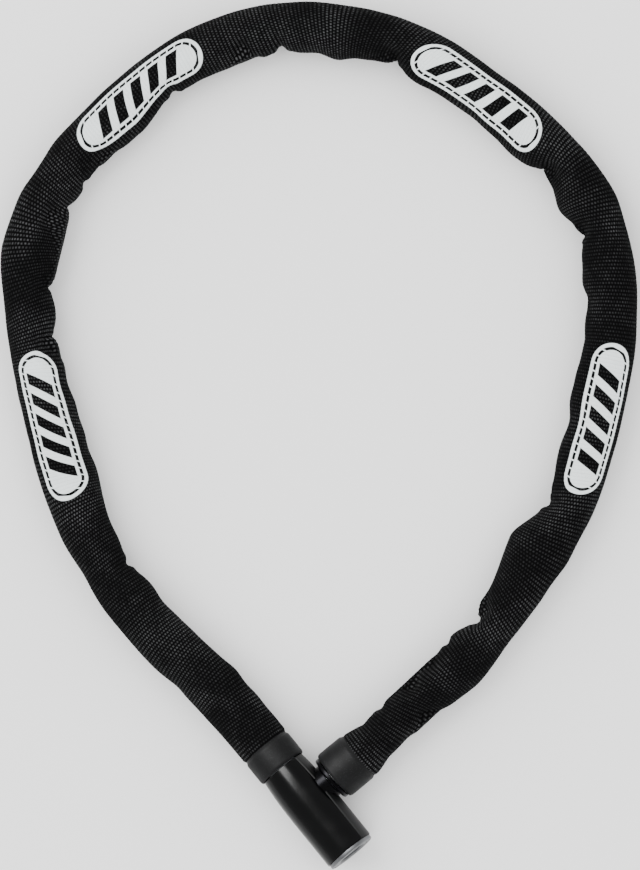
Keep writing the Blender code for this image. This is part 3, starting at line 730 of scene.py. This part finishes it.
def clear_of_links(where, lateral, rise, sizes):
    """The sleeve's section, pushed out to where the cloth lies over the links."""
    beside = np.clip((FLAT_LINK_REACH - np.abs(rise)) / LINK_FADE, 0.0, 1.0)
    inner = (link_reach(where, sizes, 0, 1.0)[0] + LINK_CLEARANCE) * beside
    outer = (link_reach(where, sizes, 0, -1.0)[0] + LINK_CLEARANCE) * beside
    inside, outside = -soft_maximum(-lateral, inner), soft_maximum(lateral, outer)
    lateral = np.where(beside > 0.0, np.where(lateral < 0.0, inside, outside), lateral)
    top, middle = link_reach(where, sizes, 1, 0.0)
    above = np.clip((UPRIGHT_LINK_REACH - np.abs(lateral - middle)) / LINK_FADE, 0.0, 1.0)
    raised = soft_maximum(np.abs(rise), (top + LINK_CLEARANCE) * above)
    return lateral, np.where(above > 0.0, np.sign(rise) * raised, rise)


def sleeve_surface(sizes):
    """The whole sleeve as one grid of points in metres, with its weave coordinates."""
    line, distance = chain_route()
    pitch = sizes.rib_pitch / MM
    end = distance[-1] - SLEEVE_TUCK
    count = int((end - SLEEVE_START) / pitch * RINGS_PER_RIB) + 1
    along = np.linspace(SLEEVE_START, end, count)[:, None] * np.ones((1, AROUND))
    angle = (-0.5 * math.pi + 2.0 * math.pi * np.arange(AROUND) / AROUND)[None, :]
    angle = angle * np.ones((count, 1))
    arc = (np.arange(AROUND) / AROUND - 0.5)[None, :] * 2.0 * math.pi * SLEEVE_HALF_WIDTH
    arc = arc * np.ones((count, 1))
    lateral_share = np.cos(angle)
    lean = 0.2 * np.sin(along / 21.0 + 0.6) + 0.16 * np.sin(along / 13.7 + 2.0)
    free = np.clip((along - SMOOTH_START) / FADE_RUN, 0.0, 1.0)
    free = free * np.clip((end - SMOOTH_END - along) / FADE_RUN, 0.0, 1.0)
    where = along + lean * free * SLEEVE_HALF_WIDTH * lateral_share
    inner = edge_offset(SLEEVE_HALF_WIDTH, INNER_EDGE, where)
    outer = edge_offset(SLEEVE_HALF_WIDTH + 0.1, OUTER_EDGE, where)
    inner_share = (1.0 - lateral_share) / 2.0
    pulled = np.clip(inner_share * 1.35, 0, 1) ** 1.4
    inner_here = SLEEVE_HALF_WIDTH + (inner - SLEEVE_HALF_WIDTH) * pulled
    lateral = np.where(lateral_share > 0.0, outer, inner_here) * lateral_share
    aside = np.interp(where, *zip(*SLEEVE_LEAN)) * free
    pinch = np.clip(SLEEVE_HALF_WIDTH - inner, 0.0, 7.0) / 7.0
    height = SLEEVE_HALF_HEIGHT * (1.0 - 0.3 * pinch * np.clip(inner_share * 1.2 - 0.2, 0.0, 1.0) ** 1.2)
    relief = pinch_creases(where, -lateral, inner_share) * free
    relief += small_wrinkles(where, arc, sizes.wrinkle_seed) * (0.35 + inner_share) * free
    swell = 1.0 + relief / SLEEVE_HALF_WIDTH
    lateral, rise = lateral * swell + aside, height * np.sin(angle) * swell
    lateral, rise = clear_of_links(where, lateral, rise, sizes)
    mouth = np.maximum(
        1.0 - (along - SLEEVE_START) / (COLLAR_MOUTH_START + MOUTH_TAPER - SLEEVE_START),
        1.0 - (end - along) / (COLLAR_MOUTH_END + MOUTH_TAPER - SLEEVE_TUCK))
    tucked = np.clip(mouth * 1.9, 0.0, 1.0)
    tucked = tucked * tucked * (3.0 - 2.0 * tucked)
    lateral = lateral * (1.0 - tucked) + TUCKED_RADIUS * np.cos(angle) * tucked
    rise = rise * (1.0 - tucked) + TUCKED_RADIUS * np.sin(angle) * tucked
    point, direction = route_at(line, distance, where)
    points = np.empty((count, AROUND, 3))
    points[..., 0] = point[..., 0] - direction[..., 1] * lateral
    points[..., 1] = point[..., 1] + direction[..., 0] * lateral
    points[..., 2] = rise
    points *= MM
    points[..., 2] += BARREL_FOOT.z
    normals = grid_normals(points)
    rib = np.abs(np.sin(math.pi * along / pitch)) ** 0.7 - 0.5
    points += normals * (sizes.rib_height * rib * (1.0 - tucked))[..., None]
    points[..., 2] = np.maximum(points[..., 2], FLOOR_CLEARANCE * MM)
    return points, grid_normals(points), along, arc


def grid_normals(points):
    """Outward normals of a grid that is closed round its columns."""
    down = np.gradient(points, axis=0)
    round_ = np.roll(points, -1, axis=1) - np.roll(points, 1, axis=1)
    normals = np.cross(round_, down)
    return normals / np.linalg.norm(normals, axis=-1, keepdims=True)


def weave_coordinates(mesh, along, arc):
    """The Weave map, in metres along and round, and the Patch map about the nearest patch."""
    rows, columns = along.shape
    loops = np.empty(len(mesh.loops), np.int32)
    mesh.loops.foreach_get("vertex_index", loops)
    row, column = loops // columns, loops % columns
    around = arc[0, column]
    wrapped = np.isin(np.arange(len(loops)) % 4, (1, 2)) & (column == 0)
    around = np.where(wrapped, -arc[0, 0], around)
    run = along[row, 0]
    centres = np.array([station for station, _ in PATCHES])
    nearest = np.abs(run[::4, None] - centres[None, :]).argmin(axis=1).repeat(4)
    shift = np.array([offset for _, offset in PATCHES])[nearest]
    maps = {
        "Weave": (around, run),
        "Patch": (run - centres[nearest], around - shift),
    }
    for name, (first, second) in maps.items():
        layer = mesh.uv_layers.new(name=name)
        values = np.stack([first, second], axis=-1) * MM
        layer.data.foreach_set("uv", values.reshape(-1).astype(np.float32))


def run_middles(distance):
    """Where the sleeve is split: the middle of each rigid run of links, in millimetres."""
    line = chain_route()[0]
    stations = []
    for hinge in HINGES:
        spot = np.array(hinge["pos_m"][:2]) / MM
        stations.append(distance[np.linalg.norm(line - spot, axis=1).argmin()])
    return stations, [(a + b) / 2.0 for a, b in zip(stations, stations[1:])]


class CHAINLOCK_OT_sleeve(bpy.types.Operator):
    """Weave the sleeve along the chain, in one piece for each hinge"""

    bl_idname = "chainlock.sleeve"
    bl_label = "Sleeve"

    def execute(self, context):
        sizes, finishes = context.scene.chainlock_sizes, context.scene.chainlock_finishes
        cloth = woven_sleeve(sizes, finishes)
        points, normals, along, arc = sleeve_surface(sizes)
        line, distance = chain_route()
        stations, middles = run_middles(distance)
        splits = [0, *(int(np.searchsorted(along[:, 0], m)) for m in middles), len(along) - 1]
        for number, (hinge, first, last) in enumerate(zip(HINGES, splits, splits[1:]), start=1):
            rows = slice(first, last + 1)
            mesh = grid_mesh("sleeve", points[rows])
            weave_coordinates(mesh, along[rows], arc[rows])
            mesh.normals_split_custom_set_from_vertices(normals[rows].reshape(-1, 3).tolist())
            piece = mesh_object(f"woven_sleeve_{number}", mesh, cloth)
            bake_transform(piece)
            replaced = [f"sleeve_{number}"] + ([f"sleeve_{number + 1}"] if number == len(HINGES) else [])
            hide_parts(*replaced)
        return {"FINISHED"}


# ---------------------------------------------------------------- chain links

def link_tree(finish):
    """Geometry Nodes: a square-bar link swept round a stadium, put at every given point."""
    tree = bpy.data.node_groups.new("Chain Links", "GeometryNodeTree")
    face = tree.interface
    face.new_socket("Geometry", in_out="INPUT", socket_type="NodeSocketGeometry")
    for name in ("Bar", "Width", "Length"):
        face.new_socket(name, in_out="INPUT", socket_type="NodeSocketFloat")
    face.new_socket("Geometry", in_out="OUTPUT", socket_type="NodeSocketGeometry")
    nodes = Nodes(tree)
    given = nodes.add("NodeGroupInput").outputs
    inner_width = nodes.math("SUBTRACT", given["Width"], given["Bar"])
    inner_length = nodes.math("SUBTRACT", given["Length"], given["Bar"])
    bend = nodes.math("MULTIPLY", inner_width, 0.49)
    edge = nodes.math("MULTIPLY", given["Bar"], 0.14)
    curves = []
    for width, height, steps, radius in (
            (inner_length, inner_width, 10, bend), (given["Bar"], given["Bar"], 3, edge)):
        box = nodes.add("GeometryNodeCurvePrimitiveQuadrilateral", None, Width=width, Height=height)
        curves.append(nodes.add(
            "GeometryNodeFilletCurve", {"mode": "POLY"},
            Curve=box.outputs[0], Count=steps, Radius=radius).outputs[0])
    path, bar = curves
    link = nodes.add("GeometryNodeCurveToMesh", None, Curve=path, Profile_Curve=bar)
    smooth = nodes.add("GeometryNodeSetShadeSmooth", None, Geometry=link.outputs[0])
    turn = nodes.add("GeometryNodeInputNamedAttribute", {"data_type": "FLOAT_VECTOR"}, Name="turn")
    placed = nodes.add(
        "GeometryNodeInstanceOnPoints", None,
        Points=given["Geometry"], Instance=smooth.outputs[0], Rotation=turn.outputs["Attribute"])
    real = nodes.add("GeometryNodeRealizeInstances", None, Geometry=placed.outputs[0])
    painted = nodes.add("GeometryNodeSetMaterial", None, Geometry=real.outputs[0], Material=finish)
    nodes.add("NodeGroupOutput", None, Geometry=painted.outputs[0])
    return tree


def socket_identifier(tree, name):
    for item in tree.interface.items_tree:
        if item.in_out == "INPUT" and item.name == name:
            return item.identifier
    raise KeyError(name)


class CHAINLOCK_OT_links(bpy.types.Operator):
    """Lay the chain's links in their places, one mesh for each rigid run"""

    bl_idname = "chainlock.links"
    bl_label = "Links"

    def execute(self, context):
        sizes = context.scene.chainlock_sizes
        tree = link_tree(link_steel())
        places, pitch = link_places()
        places = places * MM
        length = pitch * MM + sizes.link_play + 2.0 * sizes.link_bar
        values = {"Bar": sizes.link_bar, "Width": sizes.link_width, "Length": length}
        for body, members in frame["record"]["behaviour"]["bodies"].items():
            links = sorted(node for node in members if node.startswith("chain_link_"))
            if not links:
                continue
            numbers = [int(node[-2:]) - 1 for node in links]
            middles = [(places[n] + places[n + 1]) / 2.0 for n in numbers]
            ahead = [places[n + 1] - places[n] for n in numbers]
            mesh = bpy.data.meshes.new("links")
            mesh.from_pydata([(*middle, BARREL_FOOT.z) for middle in middles], [], [])
            turns = mesh.attributes.new("turn", "FLOAT_VECTOR", "POINT")
            for item, number, step in zip(turns.data, numbers, ahead):
                item.vector = (QUARTER_TURN * (number % 2), 0.0, math.atan2(step[1], step[0]))
            piece = mesh_object(f"links_{body}", mesh)
            modifier = piece.modifiers.new("links", "NODES")
            modifier.node_group = tree
            for name, value in values.items():
                modifier[socket_identifier(tree, name)] = value
            flatten_modifiers(piece)
            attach(piece, body)
            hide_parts(*links)
        return {"FINISHED"}


# ---------------------------------------------------------------- barrel

class CHAINLOCK_OT_barrel(bpy.types.Operator):
    """Turn the barrel's glossy shell with its satin strip, and the ring on its key end"""

    bl_idname = "chainlock.barrel"
    bl_label = "Barrel"

    def execute(self, context):
        finishes = context.scene.chainlock_finishes
        self.shell(gloss_shell(finishes), satin_strip())
        self.end_ring(satin_nickel())
        self.bush(black_nickel())
        return {"FINISHED"}

    def shell(self, gloss, satin):
        """The shell swells from the collar and runs straight; two fine grooves border its strip."""
        outside = []
        swelling = np.linspace(1.0, SHELL_SWELL, 24)
        straight = np.linspace(SHELL_SWELL + 2.0, SHELL_END - 0.6, 8)
        for station in [SHELL_START, *swelling, *straight]:
            rise = 1.0 - min(station / SHELL_SWELL, 1.0)
            outside.append((10.28 - 1.08 * rise ** 2.6, station))
        outside += [(10.24, SHELL_END - 0.3), (10.12, SHELL_END - 0.08), (9.9, SHELL_END)]
        profile = [*outside, (SHELL_BORE, SHELL_END), (SHELL_BORE, SHELL_START)]
        even = np.linspace(-math.pi, math.pi, 240, endpoint=False)
        near = np.linspace(-2.0, 2.0, 17) * GROOVE_HALF_WIDTH / BARREL_RADIUS
        angles = np.sort(np.concatenate((even, near - STRIP_HALF_ANGLE, near + STRIP_HALF_ANGLE)))
        points = turned_points(profile, angles + math.pi / 2.0)
        away = (np.abs(angles) - STRIP_HALF_ANGLE) * BARREL_RADIUS / GROOVE_HALF_WIDTH
        depth = GROOVE_DEPTH * np.exp(-away ** 4)
        points[:len(outside), :, :2] *= (1.0 - depth / BARREL_RADIUS)[None, :, None]
        mesh = grid_mesh("shell", points * MM, close_rows=True)
        columns, faces = len(angles), len(mesh.polygons)
        strip = (np.abs(angles) < STRIP_HALF_ANGLE)[np.arange(faces) % columns].astype(np.int32)
        mesh.transform(ALONG_BARREL)
        recalculate(mesh)
        obj = mesh_object("barrel_shell", mesh, gloss, satin)
        mesh.polygons.foreach_set("material_index", strip)
        cut(obj, rod_cutter(BOLT_HOLE * MM, 2.0 * MM, 14.0 * MM, ALONG_BOLT))
        obj.data.set_sharp_from_angle(angle=math.radians(35.0))
        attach(obj, "lock_case")
        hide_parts("housing_cover")

    def end_ring(self, finish):
        """A satin ring with two turned grooves and a rounded rim."""
        front, back, floor = RING_FRONT, RING_BACK, RING_FRONT - RING_GROOVE
        profile = millimetres([
            (9.75, back), (9.85, front - 0.45), (9.7, front - 0.12), (9.45, front), (8.75, front),
            (8.7, floor), (8.45, floor), (8.4, front), (7.5, front),
            (7.45, floor), (7.2, floor), (7.15, front), (6.25, front),
            (5.9, front - 0.2), (5.6, front - 0.5), (5.6, back),
        ])
        mesh = turned_ring("ring", profile, ALONG_BARREL, around=160)
        obj = mesh_object("key_end_ring", mesh, finish)
        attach(obj, "lock_case")
        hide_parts("face_ring")

    def bush(self, finish):
        """The bush that guides the bolt, with a lead-in at its mouth."""
        profile = rounded(millimetres([
            (7.0, BUSH_FRONT), (7.0, 5.4), (BUSH_BORE, 5.4), (BUSH_BORE, 10.8), (5.5, BUSH_FRONT),
        ]), 0.3 * MM)
        mesh = turned_ring("bush", profile, ALONG_BOLT, around=96)
        obj = mesh_object("bolt_guide_bush", mesh, finish)
        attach(obj, "lock_case")
        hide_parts("bolt_bush")


# ---------------------------------------------------------------- collars and bolt

class CHAINLOCK_OT_collars(bpy.types.Operator):
    """Turn the two soft-touch collars that hold the sleeve's ends"""

    bl_idname = "chainlock.collars"
    bl_label = "Collars"

    def execute(self, context):
        finish = soft_collar(context.scene.chainlock_finishes)
        left = [
            (9.25, -10.8), (9.5, -10.8), (10.25, -9.3), (10.3, -5.0), (10.25, -0.9),
            (9.85, -0.1), (9.2, -0.1),
        ]
        right = [
            (9.2, 13.6), (9.85, 13.6), (10.25, 14.4), (10.3, 19.0), (10.25, 24.7),
            (9.5, 26.3), (9.25, 26.3),
        ]
        self.collar("sleeve_collar_left", left, ALONG_BARREL, "lock_case", "left_collar", finish)
        self.collar("sleeve_collar_right", right, ALONG_BOLT, "bolt_end", "right_collar", finish)
        return {"FINISHED"}

    def collar(self, name, outline, placed, body, node, finish):
        profile = rounded(millimetres(outline), 0.35 * MM)
        obj = mesh_object(name, turned_ring(name, profile, placed, around=144), finish)
        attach(obj, body)
        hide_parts(node)


class CHAINLOCK_OT_bolt(bpy.types.Operator):
    """Turn the dark disc on the bolt"""

    bl_idname = "chainlock.bolt"
    bl_label = "Bolt"

    def execute(self, context):
        back, front, bore = 13.2, 11.6, 4.9
        profile = rounded(millimetres([
            (9.2, back), (9.2, front + 0.3), (8.8, front), (bore, front), (bore, back),
        ]), 0.25 * MM)
        mesh = turned_ring("disc", profile, ALONG_BOLT, around=144)
        obj = mesh_object("bolt_disc", mesh, black_nickel())
        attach(obj, "bolt_end")
        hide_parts("bolt_flange")
        return {"FINISHED"}


class CHAINLOCK_OT_inner_parts(bpy.types.Operator):
    """Give every part that stays as modelled its own metal finish"""

    bl_idname = "chainlock.inner_parts"
    bl_label = "Inner parts"

    def execute(self, context):
        brass, pin, zinc = plug_brass(), pin_steel(), cast_zinc()
        finishes = {
            "lock_body": zinc, "bolt": bolt_steel(), "latch_plate": pin,
            "cylinder_plug": satin_nickel(),
        }
        for name, node in frame["nodes"].items():
            if node.hide_render:
                continue
            wafer = name.startswith("wafer_") and "spring" not in name
            finish = finishes.get(name, brass if wafer else pin)
            node.data.materials.clear()
            node.data.materials.append(finish)
        return {"FINISHED"}


# ---------------------------------------------------------------- stage

class CHAINLOCK_OT_stage(bpy.types.Operator):
    """Set a pale floor, soft studio light and the camera above the loop"""

    bl_idname = "chainlock.stage"
    bl_label = "Stage"

    def execute(self, context):
        self.floor()
        self.lights(context.scene)
        self.camera(context.scene)
        return {"FINISHED"}

    def floor(self):
        shape = bmesh.new()
        bmesh.ops.create_grid(shape, x_segments=1, y_segments=1, size=3.0)
        mesh = bpy.data.meshes.new("floor")
        shape.to_mesh(mesh)
        shape.free()
        made, _, shader = new_material("pale_floor")
        shader.inputs["Base Color"].default_value = (0.92, 0.92, 0.92, 1.0)
        shader.inputs["Roughness"].default_value = 0.9
        obj = mesh_object("floor", mesh, made)

    def lights(self, scene):
        world = bpy.data.worlds.new("studio")
        world.use_nodes = True
        background = world.node_tree.nodes["Background"]
        background.inputs["Color"].default_value = (1.0, 1.0, 1.0, 1.0)
        background.inputs["Strength"].default_value = 1.1
        scene.world = world
        self.softbox("key", (-0.8, 0.35, 0.8), (1.7, 1.6), 20.0)
        self.softbox("fill", (0.9, 0.3, 0.8), (1.7, 1.6), 15.0)
        self.softbox("front", (0.0, -1.0, 0.8), (1.4, 0.8), 9.0)
        self.softbox("glint", (-0.354, 0.306, 1.105), (0.66, 0.5), 34.0, True)

    def softbox(self, name, place, size, power, mirrored=False):
        """A soft area light aimed at the loop, which lights matt surfaces or shows in glossy ones."""
        light = bpy.data.lights.new(name, "AREA")
        light.shape = "RECTANGLE"
        light.size, light.size_y = size
        light.energy = power
        obj = bpy.data.objects.new(name, light)
        obj.location = place
        obj.visible_glossy = mirrored
        obj.visible_diffuse = not mirrored
        obj.rotation_euler = (-Vector(place)).to_track_quat("-Z", "Y").to_euler()
        bpy.context.scene.collection.objects.link(obj)

    def camera(self, scene):
        away = Vector((0.136, -0.06, 0.989)).normalized()
        distance, view_width = 3.0, 0.3393
        low, high = CAD_BOX
        target = (Vector(low) + Vector(high)) / 2.0
        camera = bpy.data.cameras.new("camera")
        camera.sensor_width = 36.0
        camera.lens = camera.sensor_width * distance / view_width
        camera.clip_end = 20.0
        obj = bpy.data.objects.new("camera", camera)
        obj.location = target + away * distance
        look = -away
        side = look.cross(Vector((0.0, 1.0, 0.0))).normalized()
        above = side.cross(look)
        obj.rotation_euler = Matrix((side, above, -look)).transposed().to_euler()
        scene.collection.objects.link(obj)
        scene.camera = obj


class CHAINLOCK_PT_panel(bpy.types.Panel):
    """Lists the pieces of the chain lock in the sidebar"""

    bl_idname = "CHAINLOCK_PT_panel"
    bl_label = "Chain Lock"
    bl_space_type = "VIEW_3D"
    bl_region_type = "UI"
    bl_category = "Chain Lock"

    def draw(self, context):
        for group in (context.scene.chainlock_sizes, context.scene.chainlock_finishes):
            for name in group.__annotations__:
                self.layout.prop(group, name)
        for operator in OPERATORS:
            self.layout.operator(operator.bl_idname)


OPERATORS = (
    CHAINLOCK_OT_stage, CHAINLOCK_OT_sleeve, CHAINLOCK_OT_links, CHAINLOCK_OT_barrel,
    CHAINLOCK_OT_collars, CHAINLOCK_OT_bolt, CHAINLOCK_OT_inner_parts,
)
CLASSES = (ChainLockSizes, ChainLockFinishes, *OPERATORS, CHAINLOCK_PT_panel)


def register():
    for cls in CLASSES:
        bpy.utils.register_class(cls)
    bpy.types.Scene.chainlock_sizes = PointerProperty(type=ChainLockSizes)
    bpy.types.Scene.chainlock_finishes = PointerProperty(type=ChainLockFinishes)


def unregister():
    del bpy.types.Scene.chainlock_finishes
    del bpy.types.Scene.chainlock_sizes
    for cls in reversed(CLASSES):
        bpy.utils.unregister_class(cls)


def main():
    register()
    bpy.ops.chainlock.stage()
    bpy.ops.chainlock.sleeve()
    bpy.ops.chainlock.links()
    bpy.ops.chainlock.barrel()
    bpy.ops.chainlock.collars()
    bpy.ops.chainlock.bolt()
    bpy.ops.chainlock.inner_parts()


if __name__ == "__main__":
    main()
